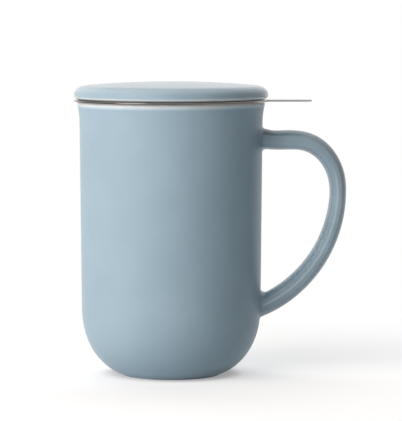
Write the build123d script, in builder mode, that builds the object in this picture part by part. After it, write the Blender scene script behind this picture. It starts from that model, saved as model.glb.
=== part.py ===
from build123d import *
from math import atan2, cos, degrees, radians, sin
import os

# A porcelain tea mug with a lift-out steel infuser and a loose lid. The mug's axis is Z and it stands on
# z = 0. The handle and the infuser's tab point along +X. All lengths are in mm and all angles in degrees.

# Mug: foot, curved bottom, slightly widening wall and flared lip
wall_base_radius = 42.2
wall_base_height = 31.4
wall_height = 87.3
wall_widening = 0.8
wall_thickness = 3.6
wall_curve_reach = 20.3
bottom_curve_reach = 7.3
bottom_rise_angle = 15.5
foot_inset = 18.8
foot_ring_width = 4.5
foot_height = 0.35
foot_recess_depth = 1.6
foot_edge_radius = 0.2
lip_height = 9.9
lip_flare = 1.05
lip_land_width = 1.2
lip_round_height = 1.3
lip_round_width = 1.15
floor_thickness = 7.0
floor_flat_inset = 4.0
floor_curve_reach = 10.0
floor_wall_reach = 17.0

# Handle: a straight upper limb, a tight bend and a long sweep down to the lower root. Its section has a crowned
# outer and inner face, and a ridge along each side that lies a little towards the fingers.
handle_top_drop = 18.1
handle_foot_drop = 1.2
handle_standoff = 36.3
handle_end_depth = 4.7
handle_bend_reach = 20.2
handle_bend_drop = 23.4
handle_width = 12.0
handle_root_width = 13.5
handle_waist_thickness = 7.9
handle_top_thickness = 9.2
handle_bottom_thickness = 10.2
handle_face_share = 0.93
handle_outer_crown_share = 0.28
handle_inner_crown_share = 0.2
handle_ridge_shift_share = 0.1
handle_corner_radius = 1.2
handle_ridge_radius = 4.0
handle_root_fillet = 2.0
handle_root_inset = 0.15
limb_station_shares = (0.0, 0.5)
bend_stations = 4
sweep_stations = 6

# Infuser: a flange with a tab on the mug's lip, a collar, a slotted wall, a hoop and a pierced base
flange_overhang = 1.55
flange_thickness = 0.9
flange_edge_radius = 0.2
tab_length = 20.6
tab_width = 7.4
tab_root_fillet = 2.5
basket_clearance = 2.0
basket_floor_gap = 30.5
collar_thickness = 0.6
collar_height = 14.0
collar_lap = 6.0
strainer_thickness = 0.5
hoop_height = 6.0
slot_columns = 42
slot_rows = 3
slot_width = 0.8
slot_row_gap = 2.0
base_hole_diameter = 1.2
base_border = 3.8
base_hole_rings = 7
base_holes_per_ring = 6

# Lid: a shallow dome with an elliptical shoulder, a seat on the flange and a ring that drops inside the collar
lid_height = 8.4
lid_crown = 1.75
lid_edge_gap = 0.45
lid_shoulder_width = 6.2
lid_shoulder_turn = 82.5
lid_shoulder_share = 0.678
lid_bottom_round_share = 0.276
lid_seat_width = 4.0
lid_ring_clearance = 0.7
lid_ring_thickness = 3.2
lid_ring_depth = 5.0
lid_ring_round = 0.8
lid_hollow_height = 3.6
lid_hollow_round = 2.0

# One overrun that carries every cutter past the face it opens
overrun = 1.0

# Heights and radii that follow from the sizes above
wall_lean = wall_widening / wall_height
wall_top_height = wall_base_height + wall_height
wall_top_radius = wall_base_radius + wall_widening
rim_height = wall_top_height + lip_height
rim_radius = wall_top_radius + lip_flare
lip_round_start = rim_height - lip_round_height
land_outer = rim_radius - lip_round_width
land_inner = land_outer - lip_land_width
foot_radius = wall_base_radius - foot_inset
foot_ring_inner = foot_radius - foot_ring_width
floor_flat_radius = foot_radius - floor_flat_inset
flange_radius = rim_radius + flange_overhang
flange_top = rim_height + flange_thickness
tab_reach = flange_radius + tab_length
collar_radius = wall_base_radius - wall_thickness - basket_clearance
collar_bottom = flange_top - collar_height
basket_radius = collar_radius - collar_thickness
basket_bottom = floor_thickness + basket_floor_gap
strainer_top = collar_bottom + collar_lap
strainer_bottom = basket_bottom + strainer_thickness
lid_ring_radius = basket_radius - lid_ring_clearance
lid_radius = flange_radius
lid_edge_height = flange_top + lid_edge_gap
lid_top = flange_top + lid_height
lid_side_top = lid_top - lid_crown
lid_side_height = lid_side_top - lid_edge_height
lid_shoulder_height = lid_side_height * lid_shoulder_share
lid_shoulder_base = lid_side_top - lid_shoulder_height
lid_bottom_round = lid_side_height * lid_bottom_round_share


def outer_side(inset):
    """Draws the mug's outer line, moved in by an inset, from the foot to the start of the lip's rounding."""
    bottom_edge = Vector(foot_radius - inset, foot_height)
    wall_base = Vector(wall_base_radius - inset, wall_base_height)
    wall_top = Vector(wall_top_radius - inset, wall_top_height)
    rise = Vector(cos(radians(bottom_rise_angle)), sin(radians(bottom_rise_angle)))
    lean = Vector(wall_lean, 1)
    Line((foot_radius - inset, 0), bottom_edge)
    Bezier(
        bottom_edge,
        bottom_edge + rise * bottom_curve_reach,
        wall_base - lean * wall_curve_reach,
        wall_base,
    )
    Line(wall_base, wall_top)
    TangentArc(wall_top, (rim_radius - inset, lip_round_start), tangent=lean)


def envelope(inset):
    """Draws the closed outline of the space that the mug fills, moved in by an inset."""
    outer_side(inset)
    Polyline(
        (rim_radius - inset, lip_round_start),
        (0, lip_round_start),
        (0, 0),
        (foot_radius - inset, 0),
    )


def inner_side():
    """Draws the mug's inner line from the lip's inner rounding down to the middle of the floor."""
    wall_top = Vector(wall_top_radius - wall_thickness, wall_top_height)
    wall_base = Vector(wall_base_radius - wall_thickness, wall_base_height)
    floor_edge = Vector(floor_flat_radius, floor_thickness)
    lean = Vector(wall_lean, 1)
    TangentArc(wall_top, (land_inner - lip_round_width, lip_round_start), tangent=lean)
    Line(wall_top, wall_base)
    Bezier(
        wall_base,
        wall_base - lean * floor_wall_reach,
        floor_edge + Vector(floor_curve_reach, 0),
        floor_edge,
    )
    Line(floor_edge, (0, floor_thickness))


def lip_round(land_edge, start_angle):
    """Draws the quarter round between the lip's flat land and one side of the mug."""
    EllipticalCenterArc(
        (land_edge, lip_round_start),
        lip_round_width,
        lip_round_height,
        start_angle=start_angle,
        arc_size=90,
    )


# Mug body
with BuildPart() as mug_body:
    with BuildSketch(Plane.XZ) as mug_section:
        with BuildLine():
            outer_side(0)
            lip_round(land_outer, 0)
            Line((land_outer, rim_height), (land_inner, rim_height))
            lip_round(land_inner, 90)
            inner_side()
            Polyline(
                (0, floor_thickness),
                (0, foot_recess_depth),
                (foot_ring_inner, foot_recess_depth),
                (foot_ring_inner, 0),
                (foot_radius, 0),
            )
        make_face()
        fillet(mug_section.vertices().group_by(Axis.Y)[0], foot_edge_radius)
    revolve(axis=Axis.Z)
mug_body.part.label = "mug_body"

# The space that the mug fills, which the handle stops at
with BuildPart() as mug_envelope:
    with BuildSketch(Plane.XZ):
        with BuildLine():
            envelope(0)
        make_face()
    revolve(axis=Axis.Z)

# Centre line of the handle, from inside the upper wall to inside the lower wall
handle_top_height = rim_height - handle_top_drop
handle_foot_height = wall_base_height - handle_foot_drop
handle_reach = wall_base_radius + handle_standoff
handle_end_radius = wall_base_radius - handle_end_depth
bend_height = handle_top_height - handle_bend_drop
bend_start = handle_reach - handle_bend_reach
sweep_run = handle_reach - handle_end_radius
sweep_fall = bend_height - handle_foot_height
sweep_radius = (sweep_run**2 + sweep_fall**2) / (2 * sweep_run)
sweep_angle = 2 * degrees(atan2(sweep_run, sweep_fall))
with BuildLine(Plane.XZ) as limb_line:
    Line((handle_end_radius, handle_top_height), (bend_start, handle_top_height))
with BuildLine(Plane.XZ) as bend_line:
    EllipticalCenterArc(
        (bend_start, bend_height),
        handle_bend_reach,
        handle_bend_drop,
        start_angle=90,
        arc_size=-90,
    )
with BuildLine(Plane.XZ) as sweep_line:
    CenterArc((handle_reach - sweep_radius, bend_height), sweep_radius, start_angle=0, arc_size=-sweep_angle)


def station(line, share, width, thickness):
    """A plane across the handle's centre line, with the width and thickness of the handle there."""
    across = Plane(origin=line.line @ share, x_dir=(0, 1, 0), z_dir=line.line % share)
    return across, width, thickness


# Handle
stations = []
for share in limb_station_shares:
    stations.append(station(limb_line, share, handle_root_width, handle_top_thickness))
for step in range(bend_stations):
    share = step / bend_stations
    thickness = handle_top_thickness + (handle_waist_thickness - handle_top_thickness) * share
    width = handle_root_width + (handle_width - handle_root_width) * share
    stations.append(station(bend_line, share, width, thickness))
for step in range(sweep_stations + 1):
    share = step / sweep_stations
    thickness = handle_waist_thickness + (handle_bottom_thickness - handle_waist_thickness) * share
    width = handle_width + (handle_root_width - handle_width) * share
    stations.append(station(sweep_line, share, width, thickness))

with BuildPart() as handle:
    for across, width, thickness in stations:
        with BuildSketch(across) as section:
            ridge = width / 2
            corner = ridge * handle_face_share
            crown = thickness / 2
            outer_edge = crown - thickness * handle_outer_crown_share
            inner_edge = crown - thickness * handle_inner_crown_share
            ridge_shift = crown * handle_ridge_shift_share
            with BuildLine():
                Polyline((corner, -inner_edge), (ridge, -ridge_shift), (corner, outer_edge))
                ThreePointArc((corner, outer_edge), (0, crown), (-corner, outer_edge))
                Polyline((-corner, outer_edge), (-ridge, -ridge_shift), (-corner, -inner_edge))
                ThreePointArc((-corner, -inner_edge), (0, -crown), (corner, -inner_edge))
            make_face()
            corners = section.vertices().group_by(Axis.X)
            fillet(corners[1] + corners[2], handle_corner_radius)
            ridges = section.vertices().group_by(Axis.X)
            fillet(ridges[0] + ridges[-1], handle_ridge_radius)
    loft()
    with BuildSketch(Plane.XZ):
        with BuildLine():
            envelope(handle_root_inset)
        make_face()
    revolve(axis=Axis.Z)
    roots = handle.edges().filter_by(
        lambda edge: edge.bounding_box().min.X > foot_radius and edge.bounding_box().max.X < wall_top_radius
    )
    fillet(roots, handle_root_fillet)
    add(mug_envelope.part, mode=Mode.SUBTRACT)
handle.part.label = "handle"

# Infuser flange with its tab
with BuildPart() as infuser_rim:
    with BuildSketch(Plane.XY.offset(rim_height)) as flange_outline:
        Circle(flange_radius)
        with Locations((tab_reach / 2, 0)):
            SlotOverall(tab_reach, tab_width)
        tab_roots = flange_outline.vertices().filter_by(lambda corner: 0 < corner.X < flange_radius)
        fillet(tab_roots, tab_root_fillet)
        Circle(collar_radius, mode=Mode.SUBTRACT)
    extrude(amount=flange_thickness)
    flat_faces = infuser_rim.faces().filter_by(Plane.XY)
    fillet([edge for face in flat_faces for edge in face.outer_wire().edges()], flange_edge_radius)
infuser_rim.part.label = "infuser_rim"

# Collar that hangs from the flange's inner edge
with BuildPart() as infuser_collar:
    with BuildSketch(Plane.XY.offset(collar_bottom)):
        Circle(collar_radius)
        Circle(basket_radius, mode=Mode.SUBTRACT)
    extrude(amount=collar_height)
infuser_collar.part.label = "infuser_collar"

# Slotted wall of the strainer, with its rows spread evenly between the hoop and the collar
slots_bottom = basket_bottom + hoop_height + slot_row_gap
slot_pitch = (collar_bottom - slots_bottom) / slot_rows
slot_height = slot_pitch - slot_row_gap
with BuildPart() as strainer_wall:
    with BuildSketch(Plane.XY.offset(strainer_bottom)):
        Circle(basket_radius)
        Circle(basket_radius - strainer_thickness, mode=Mode.SUBTRACT)
    extrude(amount=strainer_top - strainer_bottom)
    for row in range(slot_rows):
        with BuildSketch(Plane.XY.offset(slots_bottom + slot_pitch * row)):
            turn = 180 / slot_columns * (row % 2)
            with PolarLocations(basket_radius, slot_columns, start_angle=turn):
                Rectangle(2 * (strainer_thickness + overrun), slot_width)
        extrude(amount=slot_height, mode=Mode.SUBTRACT)
strainer_wall.part.label = "strainer_wall"

# Hoop round the strainer's lower end
with BuildPart() as base_hoop:
    with BuildSketch(Plane.XY.offset(basket_bottom)):
        Circle(collar_radius)
        Circle(basket_radius, mode=Mode.SUBTRACT)
    extrude(amount=hoop_height)
base_hoop.part.label = "base_hoop"

# Pierced base of the strainer
base_hole_pitch = (basket_radius - base_border) / base_hole_rings
with BuildPart() as strainer_base:
    with BuildSketch(Plane.XY.offset(basket_bottom)):
        Circle(basket_radius)
        Circle(base_hole_diameter / 2, mode=Mode.SUBTRACT)
        for ring in range(1, base_hole_rings + 1):
            with PolarLocations(base_hole_pitch * ring, base_holes_per_ring * ring):
                Circle(base_hole_diameter / 2, mode=Mode.SUBTRACT)
    extrude(amount=strainer_thickness)
strainer_base.part.label = "strainer_base"

# Lid
with BuildPart() as lid:
    with BuildSketch(Plane.XZ) as lid_section:
        with BuildLine():
            seat_outer = lid_ring_radius + lid_seat_width
            ring_bottom = flange_top - lid_ring_depth
            ring_inner = lid_ring_radius - lid_ring_thickness
            hollow_top = flange_top + lid_hollow_height
            shoulder = EllipticalCenterArc(
                (lid_radius - lid_shoulder_width, lid_shoulder_base),
                lid_shoulder_width,
                lid_shoulder_height,
                arc_size=lid_shoulder_turn,
            )
            TangentArc((0, lid_top), shoulder @ 1, tangent=(1, 0))
            Polyline(
                shoulder @ 0,
                (lid_radius, lid_edge_height),
                (seat_outer, lid_edge_height),
                (seat_outer, flange_top),
                (lid_ring_radius, flange_top),
                (lid_ring_radius, ring_bottom),
                (ring_inner, ring_bottom),
                (ring_inner, hollow_top),
                (0, hollow_top),
                (0, lid_top),
            )
        make_face()
        fillet(lid_section.vertices().group_by(Axis.X)[-1].sort_by(Axis.Y)[0], lid_bottom_round)
        fillet(lid_section.vertices().group_by(Axis.Y)[0], lid_ring_round)
        fillet(lid_section.vertices().sort_by_distance((ring_inner, hollow_top))[0], lid_hollow_round)
    revolve(axis=Axis.Z)
lid.part.label = "lid"

os.makedirs("parts", exist_ok=True)
for piece in (mug_body, handle, infuser_rim, infuser_collar, strainer_wall, base_hoop, strainer_base, lid):
    export_step(piece.part, f"parts/{piece.part.label}.step")
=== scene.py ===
from math import cos, pi, radians, sin, tau

import bpy
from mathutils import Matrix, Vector


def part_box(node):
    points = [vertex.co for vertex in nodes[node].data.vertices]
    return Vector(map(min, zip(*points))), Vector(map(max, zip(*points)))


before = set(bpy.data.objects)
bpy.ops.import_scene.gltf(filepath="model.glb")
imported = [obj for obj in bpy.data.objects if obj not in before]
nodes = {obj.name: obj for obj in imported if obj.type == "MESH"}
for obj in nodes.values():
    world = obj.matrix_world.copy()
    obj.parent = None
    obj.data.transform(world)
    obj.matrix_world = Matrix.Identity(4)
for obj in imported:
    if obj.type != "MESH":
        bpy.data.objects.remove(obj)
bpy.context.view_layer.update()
scene = bpy.context.scene

MM = 0.001

# Camera fitted to the photograph: its place, its downward tilt in radians and its focal length in pixels
CAMERA_PLACE = Vector((14.05, -1200.0, 173.4)) * MM
CAMERA_TILT = 0.080
FOCAL_LENGTH_PX = 2553.7
IMAGE_HEIGHT_PX = 421
# The image is taller than wide, so the sensor's width, in millimetres, spans the image's height
SENSOR_WIDTH = 36.0

# Heights of the lip, the handle, the flange and the lid, from the frame
LIP_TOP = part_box("mug_body")[1].z
HANDLE_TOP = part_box("handle")[1].z
FLANGE_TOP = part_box("infuser_rim")[1].z
LID_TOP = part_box("lid")[1].z
# The lid rests on a seat further in, and its lower edge stands this far above the flange
LID_EDGE_GAP = 0.45 * MM
LID_EDGE = FLANGE_TOP + LID_EDGE_GAP

# Studio floor: its side, the colours that light and the camera see, its glow in the open and under the mug
FLOOR_SIDE = 8.0
FLOOR_PAPER = (0.67, 0.74, 0.78)
FLOOR_SHADE = (0.62, 0.62, 0.62)
FLOOR_GLOW = 0.53
CONTACT_GLOW = 0.30
CONTACT_REACH = 0.006
# Distances from the mug's axis where its shadow starts to fade into white and where it has gone
SHADOW_FADE = (0.08, 0.26)
WHITE = (1.0, 1.0, 1.0)

# Softboxes: turn from the front and rise in degrees, width and height in metres, power in watts and tint
SOFTBOX_DISTANCE = 1.35
SOFTBOXES = {
    "key_softbox": dict(turn=-41.0, rise=25.0, width=1.2, height=1.2, power=17.4, tint=(1.06, 1.0, 0.965)),
    "side_softbox": dict(turn=-66.0, rise=6.0, width=1.2, height=1.2, power=8.8, tint=(1.12, 1.0, 0.90)),
    "back_softbox": dict(turn=180.0, rise=60.0, width=1.4, height=1.0, power=11.0, tint=WHITE),
}

# Glaze darkened with painted shade for the handle, thick, clouded, thin over an edge and nearly gone, and
# bare porcelain, linear
GLAZE_SHADED = (0.247, 0.343, 0.410)
GLAZE = (0.300, 0.411, 0.486)
GLAZE_LIGHT = (0.316, 0.429, 0.506)
GLAZE_THIN = (0.46, 0.58, 0.65)
GLAZE_PALE = (0.67, 0.69, 0.69)
BARE_PORCELAIN = (0.72, 0.70, 0.66)

# Range of roughness and specular level of the glaze on the mug, the handle and the lid
MUG_ROUGHNESS = (0.36, 0.42)
MUG_SPECULAR = 0.3
HANDLE_ROUGHNESS = (0.10, 0.15)
HANDLE_SPECULAR = 0.6
LID_ROUGHNESS = (0.16, 0.20)
LID_SPECULAR = 0.45

# Patterns in the glaze: each noise's scale per metre and detail, and the levels or range that it is read at
CLOUD_NOISE = (45.0, 3.0)
CLOUD_LEVELS = (0.35, 0.65)
SPECK_NOISE = (1500.0, 1.0)
SPECK_LEVELS = (0.70, 0.78)
SPECK_SHARE = 0.12
SHEEN_NOISE = (220.0, 2.0)
PEEL_NOISE = (900.0, 2.0)
PIT_NOISE = (2600.0, 1.0)
PIT_LEVELS = (0.30, 0.22)
PIT_DEPTH = 0.6
GLAZE_BUMP = (0.05, 0.2 * MM)

# Where the glaze thins, and the lid's painted shoulder sheen, from its start to its full amount, and how much
# of that each place gets
LIP_DEPTHS = (3.2 * MM, 0.7 * MM)
RIDGE_FACING = (0.991, 0.9995)
RIDGE_DEPTHS = (13 * MM, 29 * MM)
RIDGE_SHARE = 0.32
LID_EDGE_RISES = (1.7 * MM, 0.5 * MM)
# Pale band over the lid's shoulder, partly thinning glaze and partly painted sheen of light from above: depth
# below the top, half width, share
LID_SHOULDER_DEPTH = 3.4 * MM
LID_SHOULDER_HALF_WIDTH = 2.4 * MM
LID_SHOULDER_SHEEN_SHARE = 0.2
THINNING_NOISE = (320.0, 2.0)
THINNING_RANGE = (0.88, 1.12)
# The share of the thinning at which the glaze is thin. Past it the glaze goes on to pale
THIN_SHARE = 0.5

# Bare foot of the mug: its height, how far a face points down to be bare, and its roughness
FOOT_BARE_BELOW = 0.4 * MM
BARE_FACING = (-0.80, -0.95)
BARE_ROUGHNESS = 0.8

# Steel as rolled, at a sheared edge dark partly from shearing and partly from painted shade and dark
# reflection, and where a weld has coloured it, linear
STEEL = (0.60, 0.58, 0.57)
STEEL_EDGE_AND_SHADE = (0.10, 0.098, 0.092)
STEEL_WELD = (0.42, 0.37, 0.31)

# Fine lines and smears of the rolled steel: scales, shades of its colour, roughness and relief
LINE_SCALE = 2600.0
LINE_TURN_SCALE = 6.0
LINE_NOISE = (1.0, 3.0, 0.6)
LINE_SHADES = (0.94, 1.05)
LINE_ROUGHNESS = (0.13, 0.20)
LINE_RELIEF = 0.25
SMEAR_NOISE = (60.0, 2.0)
SMEAR_SHADE = 0.85
SMEAR_SHARE = 0.25
SMEAR_ROUGHNESS = 0.08
STEEL_BUMP = (0.25, 0.06 * MM)

# Sheared edge of the flange, dark partly from shearing and partly painted shade: how dark it is on the tab
# and on the far side, and its painted glints
EDGE_FACING = (0.7, 0.3)
EDGE_ROUGHNESS = 0.30
# Along X the round edge gives way to the tab about this far inside the lip
TAB_ROOT_INSET = 4 * MM
TAB_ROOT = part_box("mug_body")[1].x - TAB_ROOT_INSET
TAB_FADE = 3 * MM
# Share of the edge's painted shade kept on the tab, which stands clear of the lid
TAB_SHADE_SHARE = 0.65
# Where the edge faces away from the tab, and the share of its painted shade kept there: that side is painted
# lighter, as the softboxes light it
FAR_SIDE = (-0.90, -0.99)
FAR_SIDE_SHADE_SHARE = 0.4
# Painted glints on the edge's upper half, standing in for the key softbox's reflection: depths, count round
# the axis, turn, levels and share
GLINT_DEPTHS = (0.55 * MM, 0.35 * MM)
GLINT_COUNT = 3.0
GLINT_TURN = 5.95
GLINT_LEVELS = (0.80, 1.0)
GLINT_SHARE = 0.9

# Spot welds round a band, with the sizes of their core and halo as shares of their radius
WELD_COUNT = 24
WELD_RADIUS = 0.9 * MM
WELD_CORE_SHARE = 0.6
WELD_HALO_SHARE = 2.2
WELD_TINT = 0.35
WELD_ROUGHNESS = 0.32

# Welded seam on the side away from the tab: its bead, its ripple and the tint beside it
SEAM_FADE = 5.0 * MM
SEAM_BEAD_HALF_WIDTH = 0.7 * MM
SEAM_TINT_HALF_WIDTH = 2.4 * MM
SEAM_TINT = 0.4
SEAM_ROUGHNESS = 0.34
RIPPLE_NOISE = (900.0, 1.0)
RIPPLE_RANGE = (0.6, 1.0)

# Places of the colour sockets on a Mix node, whose names are shared with its other sockets
MIX_SHARE = 0
MIX_FIRST = 6
MIX_SECOND = 7
MIX_RESULT = 2


class Graph:
    """Adds shader nodes to one node tree and links them."""

    def __init__(self, tree):
        self.tree = tree
        tree.nodes.clear()

    def add(self, kind, inputs=None, **settings):
        """A new node with its settings and inputs, each a value, a colour or another node's output."""
        node = self.tree.nodes.new(kind)
        for name, value in settings.items():
            setattr(node, name, value)
        for name, value in (inputs or {}).items():
            socket = node.inputs[name]
            if isinstance(value, bpy.types.NodeSocket):
                self.tree.links.new(value, socket)
            elif isinstance(value, tuple):
                socket.default_value = (*value, 1.0)
            else:
                socket.default_value = value
        return node

    def math(self, operation, first, second=0.0):
        return self.add("ShaderNodeMath", {0: first, 1: second}, operation=operation).outputs[0]

    def product(self, first, second):
        return self.math("MULTIPLY", first, second)

    def larger(self, first, second):
        return self.math("MAXIMUM", first, second)

    def ramp(self, value, low, high):
        """0 at low and beyond it, 1 at high and beyond it, and smooth between. Low may be the larger."""
        rising = low < high
        inputs = {
            "Value": value,
            "From Min": min(low, high),
            "From Max": max(low, high),
            "To Min": 0.0 if rising else 1.0,
            "To Max": 1.0 if rising else 0.0,
        }
        return self.add("ShaderNodeMapRange", inputs, interpolation_type="SMOOTHSTEP").outputs["Result"]

    def band(self, value, centre, half_width):
        """1 at the centre, falling smoothly to 0 at half_width from it."""
        return self.ramp(self.math("ABSOLUTE", self.math("SUBTRACT", value, centre)), half_width, 0.0)

    def span(self, value, low, high):
        """The value's 0 to 1 mapped to low to high."""
        inputs = {"Value": value, "To Min": low, "To Max": high}
        return self.add("ShaderNodeMapRange", inputs).outputs["Result"]

    def mix(self, share, first, second):
        """The first colour where the share is 0, and the second where it is 1."""
        inputs = {MIX_SHARE: share, MIX_FIRST: first, MIX_SECOND: second}
        return self.add("ShaderNodeMix", inputs, data_type="RGBA").outputs[MIX_RESULT]

    def noise(self, place, scale, detail, roughness=0.5):
        inputs = {"Vector": place, "Scale": scale, "Detail": detail, "Roughness": roughness}
        return self.add("ShaderNodeTexNoise", inputs).outputs["Fac"]

    def split(self, vector):
        """The X, Y and Z of a vector."""
        outputs = self.add("ShaderNodeSeparateXYZ", {"Vector": vector}).outputs
        return outputs["X"], outputs["Y"], outputs["Z"]

    def join(self, **parts):
        """A vector of the given X, Y and Z. One that isn't given is 0."""
        return self.add("ShaderNodeCombineXYZ", parts).outputs[0]

    def length(self, vector):
        return self.add("ShaderNodeVectorMath", {0: vector}, operation="LENGTH").outputs["Value"]

    def direction(self, vector):
        return self.add("ShaderNodeVectorMath", {0: vector}, operation="NORMALIZE").outputs["Vector"]

    def seen_rays(self):
        """1 for rays of the camera, reflections and glass, and 0 for the rays that light the object."""
        rays = self.add("ShaderNodeLightPath").outputs
        shown = self.larger(rays["Is Camera Ray"], rays["Is Glossy Ray"])
        return self.larger(shown, rays["Is Transmission Ray"])


class Surface(Graph):
    """One material in the making: its points' places and facings, and its colour, roughness and relief."""

    def __init__(self, name):
        self.material = bpy.data.materials.new(name)
        self.material.use_nodes = True
        super().__init__(self.material.node_tree)
        coordinates = self.add("ShaderNodeTexCoord").outputs
        self.place = coordinates["Object"]
        self.normal = coordinates["Normal"]
        self.colour = None
        self.rough = None
        self.relief = None

    def tint(self, share, colour):
        """Mixes a colour in, fully where the share is 1."""
        self.colour = self.mix(share, self.colour, colour)

    def roughen(self, share, roughness):
        """Raises the roughness to the given one where the share is 1, and by less where it is smaller."""
        self.rough = self.larger(self.rough, self.product(share, roughness))

    def close(self, bump, constants):
        """The finished material. The constants are set on the shader's own sockets."""
        strength, distance = bump
        relief = {"Height": self.relief, "Strength": strength, "Distance": distance}
        normal = self.add("ShaderNodeBump", relief).outputs[0]
        inputs = {"Base Color": self.colour, "Roughness": self.rough, "Normal": normal}
        shader = self.add("ShaderNodeBsdfPrincipled", {**inputs, **constants})
        self.add("ShaderNodeOutputMaterial", {"Surface": shader.outputs[0]})
        return self.material


def lip_thinning(glaze):
    """The glaze thins over the mug's lip, down to the porcelain at its top."""
    start, full = LIP_DEPTHS
    _, _, height = glaze.split(glaze.place)
    return glaze.ramp(height, LIP_TOP - start, LIP_TOP - full)


def ridge_thinning(glaze):
    """The glaze thins a little along the ridge on each side of the handle, but not on its upper limb."""
    start, full = RIDGE_DEPTHS
    _, facing_across, _ = glaze.split(glaze.normal)
    _, _, height = glaze.split(glaze.place)
    ridge = glaze.ramp(glaze.math("ABSOLUTE", facing_across), *RIDGE_FACING)
    below = glaze.ramp(height, HANDLE_TOP - start, HANDLE_TOP - full)
    return glaze.product(ridge, glaze.product(below, RIDGE_SHARE))


def lid_thinning_and_sheen(glaze):
    """The glaze thins down to the porcelain at the lid's lower edge. Over its shoulder a pale band is partly
    thinning glaze and partly painted sheen.
    """
    start, full = LID_EDGE_RISES
    _, _, height = glaze.split(glaze.place)
    edge = glaze.ramp(height, LID_EDGE + start, LID_EDGE + full)
    # Painted sheen, with some thinning, in a band over the shoulder
    shoulder = glaze.band(height, LID_TOP - LID_SHOULDER_DEPTH, LID_SHOULDER_HALF_WIDTH)
    return glaze.larger(edge, glaze.product(shoulder, LID_SHOULDER_SHEEN_SHARE))


def bare_foot(glaze, bare_below):
    """The underside of the foot, below a height, is bare porcelain."""
    _, _, facing_up = glaze.split(glaze.normal)
    _, _, height = glaze.split(glaze.place)
    underside = glaze.ramp(facing_up, *BARE_FACING)
    bare = glaze.product(underside, glaze.ramp(height, bare_below, bare_below / 2))
    glaze.tint(bare, BARE_PORCELAIN)
    glaze.roughen(bare, BARE_ROUGHNESS)


def glaze_material(name, thinning, roughness, specular, clouded=(GLAZE, GLAZE_LIGHT), bare_below=None):
    """Satin blue-grey glaze over porcelain, with faint clouds, specks and pits. A foot may be left bare."""
    glaze = Surface(name)
    clouds = glaze.ramp(glaze.noise(glaze.place, *CLOUD_NOISE), *CLOUD_LEVELS)
    glaze.colour = glaze.mix(clouds, *clouded)
    glaze.rough = glaze.span(glaze.noise(glaze.place, *SHEEN_NOISE), *roughness)
    unevenness = glaze.span(glaze.noise(glaze.place, *THINNING_NOISE), *THINNING_RANGE)
    # For the lid this also holds the painted sheen over its shoulder
    thinned_and_sheen = glaze.product(thinning(glaze), unevenness)
    glaze.tint(glaze.ramp(thinned_and_sheen, 0.0, THIN_SHARE), GLAZE_THIN)
    glaze.tint(glaze.ramp(thinned_and_sheen, THIN_SHARE, 1.0), GLAZE_PALE)
    specks = glaze.ramp(glaze.noise(glaze.place, *SPECK_NOISE), *SPECK_LEVELS)
    glaze.tint(glaze.product(specks, SPECK_SHARE), BARE_PORCELAIN)
    if bare_below is not None:
        bare_foot(glaze, bare_below)
    peel = glaze.noise(glaze.place, *PEEL_NOISE)
    pits = glaze.ramp(glaze.noise(glaze.place, *PIT_NOISE), *PIT_LEVELS)
    glaze.relief = glaze.math("SUBTRACT", peel, glaze.product(pits, PIT_DEPTH))
    return glaze.close(GLAZE_BUMP, {"Specular IOR Level": specular})


def shaded(colour, shade):
    return tuple(shade * part for part in colour)


def roll(steel):
    """Fine lines round the upright axis and faint smears, as rolling and polishing leave them."""
    along, across, height = steel.split(steel.place)
    flat = steel.join(X=along, Y=across)
    side_along, side_across, _ = steel.split(steel.direction(flat))
    stretched = steel.join(
        X=steel.product(steel.math("ADD", steel.length(flat), height), LINE_SCALE),
        Y=steel.product(side_along, LINE_TURN_SCALE),
        Z=steel.product(side_across, LINE_TURN_SCALE),
    )
    lines = steel.noise(stretched, *LINE_NOISE)
    smears = steel.noise(steel.place, *SMEAR_NOISE)
    steel.colour = steel.mix(lines, *(shaded(STEEL, shade) for shade in LINE_SHADES))
    steel.tint(steel.product(smears, SMEAR_SHARE), shaded(STEEL, SMEAR_SHADE))
    line_roughness = steel.span(lines, *LINE_ROUGHNESS)
    steel.rough = steel.math("ADD", line_roughness, steel.product(smears, SMEAR_ROUGHNESS))
    steel.relief = steel.product(lines, LINE_RELIEF)


def shear_edge_painted_light(steel):
    """The sheared edge, dark partly from shearing and partly with painted shade, less on the tab, painted
    lighter opposite it, with painted glints on its upper half.
    """
    along, across, height = steel.split(steel.place)
    side_along, _, _ = steel.split(steel.direction(steel.join(X=along, Y=across)))
    _, _, facing_up = steel.split(steel.normal)
    upright = steel.ramp(steel.math("ABSOLUTE", facing_up), *EDGE_FACING)
    round_part = steel.ramp(along, TAB_ROOT + TAB_FADE, TAB_ROOT - TAB_FADE)
    tab_shade = steel.span(round_part, TAB_SHADE_SHARE, 1.0)
    # Painted light: the side away from the tab keeps less of the painted shade
    far_side_shade = steel.span(steel.ramp(side_along, *FAR_SIDE), 1.0, FAR_SIDE_SHADE_SHARE)
    # Painted shade and dark reflection on the upright edge, less on the tab and on the side away from it
    edge = steel.product(upright, steel.product(tab_shade, far_side_shade))
    # Painted glints, in three stretches round the edge, standing in for the key softbox's reflection
    lower, upper = GLINT_DEPTHS
    upper_half = steel.ramp(height, FLANGE_TOP - lower, FLANGE_TOP - upper)
    turns = steel.product(steel.math("ARCTAN2", across, along), GLINT_COUNT)
    wave = steel.math("COSINE", steel.math("ADD", turns, GLINT_TURN))
    stretches = steel.product(upper_half, steel.ramp(wave, *GLINT_LEVELS))
    painted_glint = steel.product(stretches, GLINT_SHARE)
    # The edge takes its dark colour, partly painted shade, lifted toward plain steel at the painted glints
    steel.tint(edge, steel.mix(painted_glint, STEEL_EDGE_AND_SHADE, STEEL))
    steel.roughen(edge, EDGE_ROUGHNESS)


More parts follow.
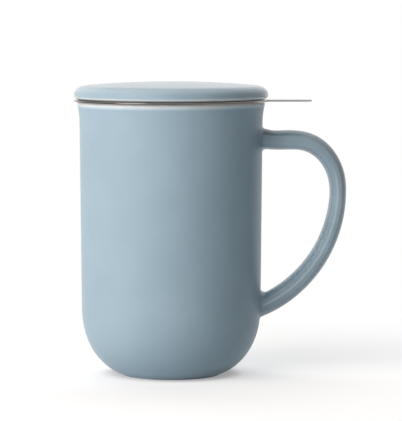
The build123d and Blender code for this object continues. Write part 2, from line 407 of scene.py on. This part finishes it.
def spot_weld(steel, weld_height):
    """A ring of spot welds at a height, each a shallow dent with a tinted halo."""
    along, across, height = steel.split(steel.place)
    radius = steel.length(steel.join(X=along, Y=across))
    turn = steel.product(steel.math("ARCTAN2", across, along), WELD_COUNT / tau)
    offset = steel.math("SUBTRACT", steel.math("FRACT", turn), 0.5)
    arc = steel.product(steel.product(offset, radius), tau / WELD_COUNT)
    rise = steel.math("SUBTRACT", height, weld_height)
    reach = steel.length(steel.join(X=arc, Y=rise))
    weld = steel.ramp(reach, WELD_RADIUS, WELD_CORE_SHARE * WELD_RADIUS)
    halo = steel.ramp(reach, WELD_HALO_SHARE * WELD_RADIUS, WELD_RADIUS)
    steel.tint(steel.product(halo, WELD_TINT), STEEL_WELD)
    steel.relief = steel.math("SUBTRACT", steel.relief, weld)
    steel.roughen(weld, WELD_ROUGHNESS)


def weld_seam(steel):
    """An upright welded seam on the side away from the tab, a rippled bead with a tint beside it."""
    along, across, _ = steel.split(steel.place)
    far_side = steel.ramp(along, 0.0, -SEAM_FADE)
    bead = steel.product(far_side, steel.band(across, 0.0, SEAM_BEAD_HALF_WIDTH))
    tinted = steel.product(far_side, steel.band(across, 0.0, SEAM_TINT_HALF_WIDTH))
    ripple = steel.span(steel.noise(steel.place, *RIPPLE_NOISE), *RIPPLE_RANGE)
    steel.tint(steel.product(tinted, SEAM_TINT), STEEL_WELD)
    steel.relief = steel.math("ADD", steel.relief, steel.product(bead, ripple))
    steel.roughen(bead, SEAM_ROUGHNESS)


def steel_material(name, sheared=False, weld_height=None, seam=False):
    """Satin steel. It may have a sheared edge with painted shade and glints, a ring of spot welds at a height
    and a welded seam.
    """
    steel = Surface(name)
    roll(steel)
    if sheared:
        shear_edge_painted_light(steel)
    if weld_height is not None:
        spot_weld(steel, weld_height)
    if seam:
        weld_seam(steel)
    return steel.close(STEEL_BUMP, {"Metallic": 1.0})


def middle_height(node_name):
    low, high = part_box(node_name)
    return (low.z + high.z) / 2


def paint(node_name, material):
    """Gives a CAD node its material."""
    node = nodes[node_name]
    node.data.materials.clear()
    node.data.materials.append(material)


def paint_porcelain():
    mug_glaze = glaze_material(
        "mug_glaze", lip_thinning, MUG_ROUGHNESS, MUG_SPECULAR, bare_below=FOOT_BARE_BELOW
    )
    # The handle's glaze is painted darker, standing in for the shade the mug's body casts on it
    handle_glaze = glaze_material(
        "handle_glaze", ridge_thinning, HANDLE_ROUGHNESS, HANDLE_SPECULAR, clouded=(GLAZE_SHADED, GLAZE)
    )
    paint("mug_body", mug_glaze)
    paint("handle", handle_glaze)
    paint("lid", glaze_material("lid_glaze", lid_thinning_and_sheen, LID_ROUGHNESS, LID_SPECULAR))


def paint_infuser():
    # The flange's sheared edge carries painted shade and painted glints
    paint("infuser_rim", steel_material("flange_steel", sheared=True))
    for node_name, material_name in (("infuser_collar", "collar_steel"), ("base_hoop", "hoop_steel")):
        paint(node_name, steel_material(material_name, weld_height=middle_height(node_name), seam=True))
    paint("strainer_wall", steel_material("strainer_steel", seam=True))
    paint("strainer_base", steel_material("base_steel"))


def build_floor():
    """A wide pale floor. The camera sees the mug's shadow on it, fading to pure white away from the mug."""
    half = FLOOR_SIDE / 2
    corners = [(-half, -half, 0), (half, -half, 0), (half, half, 0), (-half, half, 0)]
    mesh = bpy.data.meshes.new("floor")
    mesh.from_pydata(corners, [], [(0, 1, 2, 3)])
    floor = bpy.data.objects.new("floor", mesh)
    scene.collection.objects.link(floor)
    surface = Surface("floor_paper")
    away = surface.ramp(surface.length(surface.place), *SHADOW_FADE)
    contact = surface.add("ShaderNodeAmbientOcclusion", {"Distance": CONTACT_REACH}).outputs["AO"]
    glow_strength = surface.span(surface.ramp(contact, 0.0, 1.0), CONTACT_GLOW, FLOOR_GLOW)
    paper = surface.add("ShaderNodeBsdfDiffuse", {"Color": FLOOR_PAPER}).outputs[0]
    shade = surface.add("ShaderNodeBsdfDiffuse", {"Color": FLOOR_SHADE}).outputs[0]
    glow = surface.add("ShaderNodeEmission", {"Strength": glow_strength}).outputs[0]
    white = surface.add("ShaderNodeEmission", {"Strength": 1.0}).outputs[0]
    near = surface.add("ShaderNodeAddShader", {0: shade, 1: glow}).outputs[0]
    shown = surface.add("ShaderNodeMixShader", {0: away, 1: near, 2: white}).outputs[0]
    either = surface.add("ShaderNodeMixShader", {0: surface.seen_rays(), 1: paper, 2: shown}).outputs[0]
    surface.add("ShaderNodeOutputMaterial", {"Surface": either})
    mesh.materials.append(surface.material)


def build_world():
    """A studio that shows white to the camera and in reflections. It leaves the lighting to the softboxes."""
    world = bpy.data.worlds.new("studio")
    scene.world = world
    world.use_nodes = True
    graph = Graph(world.node_tree)
    background = graph.add("ShaderNodeBackground", {"Color": WHITE, "Strength": graph.seen_rays()})
    graph.add("ShaderNodeOutputWorld", {"Surface": background.outputs[0]})


def add_softbox(name, turn, rise, width, height, power, tint):
    """A softbox, turned from the front and raised by the given degrees, aimed at the mug's middle.

    It lights the object, and reflections show the white studio in its place.
    """
    turn, rise = radians(turn), radians(rise)
    towards = Vector((cos(rise) * sin(turn), -cos(rise) * cos(turn), sin(rise)))
    data = bpy.data.lights.new(name, "AREA")
    data.shape = "RECTANGLE"
    data.size = width
    data.size_y = height
    data.energy = power
    data.color = tint
    light = bpy.data.objects.new(name, data)
    light.location = Vector((0.0, 0.0, LIP_TOP / 2)) + towards * SOFTBOX_DISTANCE
    light.rotation_mode = "QUATERNION"
    light.rotation_quaternion = (-towards).to_track_quat("-Z", "Y")
    light.visible_glossy = False
    scene.collection.objects.link(light)


def add_camera():
    data = bpy.data.cameras.new("camera")
    data.sensor_width = SENSOR_WIDTH
    data.lens = FOCAL_LENGTH_PX * SENSOR_WIDTH / IMAGE_HEIGHT_PX
    camera = bpy.data.objects.new("camera", data)
    camera.location = CAMERA_PLACE
    camera.rotation_euler = (pi / 2 - CAMERA_TILT, 0.0, 0.0)
    scene.collection.objects.link(camera)
    scene.camera = camera


paint_porcelain()
paint_infuser()
build_floor()
build_world()
for softbox_name, settings in SOFTBOXES.items():
    add_softbox(softbox_name, **settings)
add_camera()
scene.view_settings.view_transform = "Standard"
